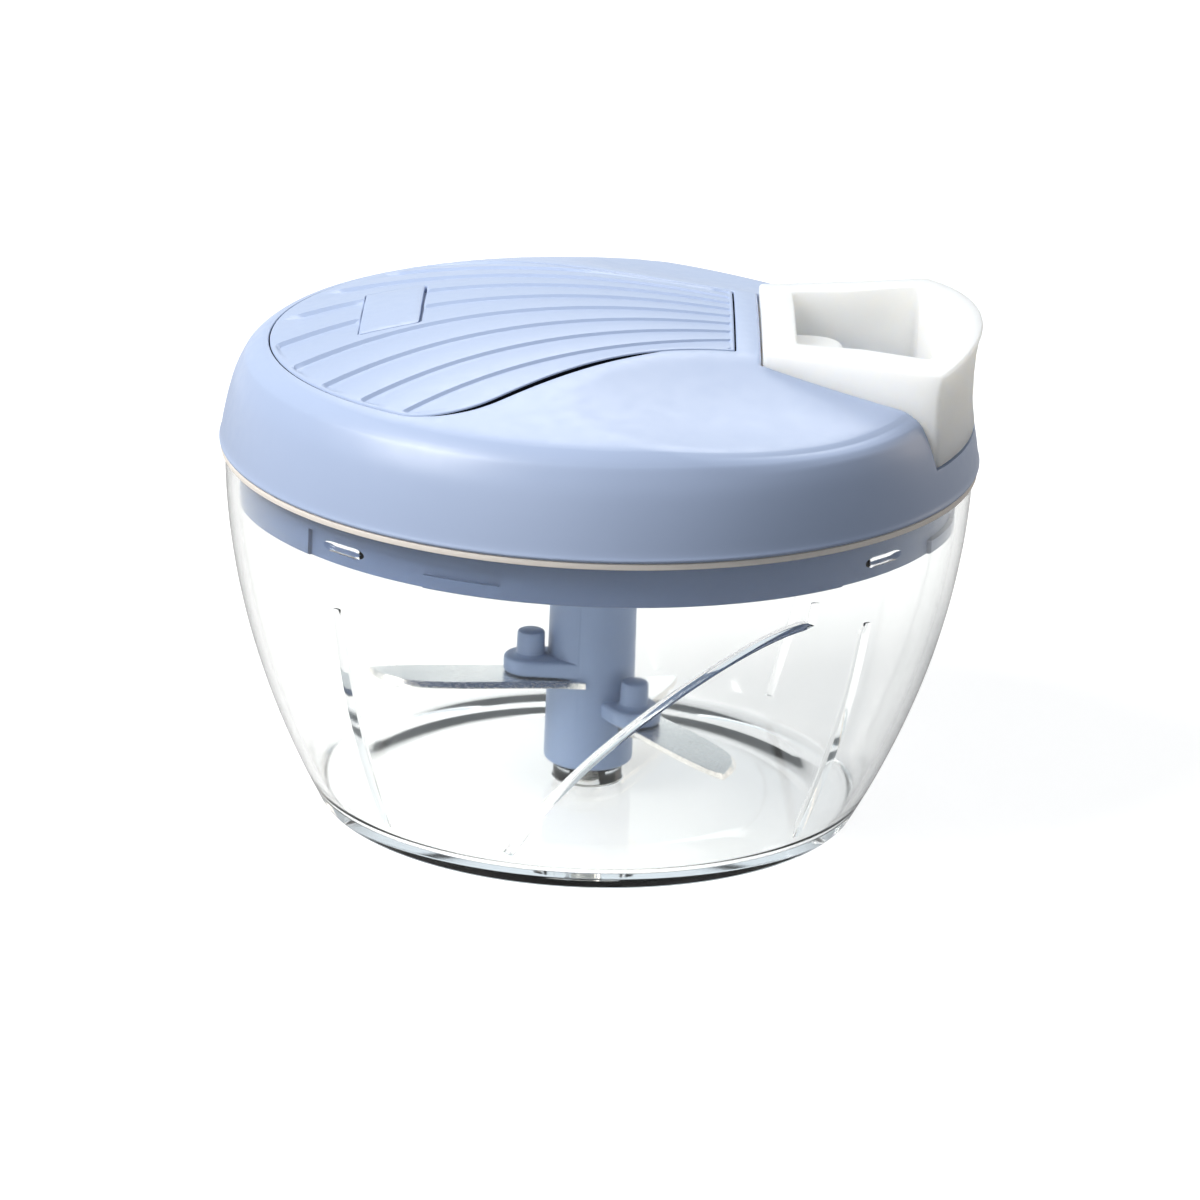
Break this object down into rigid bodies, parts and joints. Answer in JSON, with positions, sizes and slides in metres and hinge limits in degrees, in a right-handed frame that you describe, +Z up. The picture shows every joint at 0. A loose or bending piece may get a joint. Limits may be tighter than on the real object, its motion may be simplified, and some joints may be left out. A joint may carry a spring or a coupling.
{
  "type": "garlic chopper",
  "caption": "Pull-cord garlic chopper: clear bowl, knives on a hub, and a blue lid with a fluted wave panel and a white pull handle on a cord.",
  "frame": {"origin": "centre of the bowl's flat underside, on the surface that it stands on", "axes": "+Z up along the bowl's axis, +X towards the pull handle"},
  "size_m": [0.1292, 0.129, 0.0874],
  "materials": {
    "clear_plastic": "clear gloss plastic",
    "lid_plastic": "satin",
    "panel_plastic": "satin",
    "hub_plastic": "satin",
    "white_plastic": "satin",
    "natural_plastic": "moulded",
    "silicone": "matte",
    "blade_steel": "ground",
    "steel": "plated",
    "spring_steel": "blued",
    "cord": "braided"
  },
  "bodies": {
    "bowl": {"bowl": "clear_plastic", "pivot_pin": "steel"},
    "seal": {"seal_ring": "silicone"},
    "lid": {"lid_base": "lid_plastic", "lid_cover": "lid_plastic", "top_panel": "panel_plastic", "panel_inset": "panel_plastic", "cover_screw_1": "steel", "cover_screw_2": "steel", "cover_screw_3": "steel", "cover_screw_4": "steel", "shaft_bush": "natural_plastic", "spring_cover": "white_plastic", "spiral_spring": "spring_steel", "cord_eyelet": "steel", "cord_lead": "cord"},
    "reel": {"reel": "white_plastic", "reel_washer": "steel", "reel_screw": "steel", "cord_winding": "cord", "drive_shaft": "natural_plastic"},
    "handle": {"pull_handle": "white_plastic", "cord_knot": "cord", "knot_cap": "white_plastic"},
    "blades": {"blade_hub": "hub_plastic", "blade_upper": "blade_steel", "blade_middle": "blade_steel", "blade_lower": "blade_steel", "blade_rivet_upper": "steel", "blade_rivet_middle": "steel", "blade_rivet_lower": "steel"}
  },
  "joints": [
    {"name": "lid_lift", "type": "slide", "parent": "bowl", "child": "seal", "axis": [0, 0, 1], "range_m": [0, 0.1]},
    {"name": "lid_twist", "type": "hinge", "parent": "seal", "child": "lid", "pos_m": [0, 0, 0.0626], "axis": [0, 0, 1], "range_deg": [-20, 0]},
    {"name": "handle_pull", "type": "slide", "parent": "lid", "child": "handle", "axis": [1, 0, 0], "range_m": [0, 0.3], "stiffness_N_per_m": 15, "springref_m": -0.1, "deforming": ["cord_lead"]},
    {"name": "reel_spin", "type": "hinge", "parent": "lid", "child": "reel", "pos_m": [0, 0, 0.0777], "axis": [0, 0, 1], "range_deg": [0, 1080], "deforming": ["spiral_spring"]},
    {"name": "blade_spin", "type": "hinge", "parent": "bowl", "child": "blades", "pos_m": [0, 0, 0.0063], "axis": [0, 0, 1], "range_deg": [0, 1080]}
  ],
  "couplings": [
    {"joint": "reel_spin", "follows": "handle_pull", "rad_per_m": 62.11},
    {"joint": "blade_spin", "follows": "handle_pull", "rad_per_m": 62.11}
  ]
}
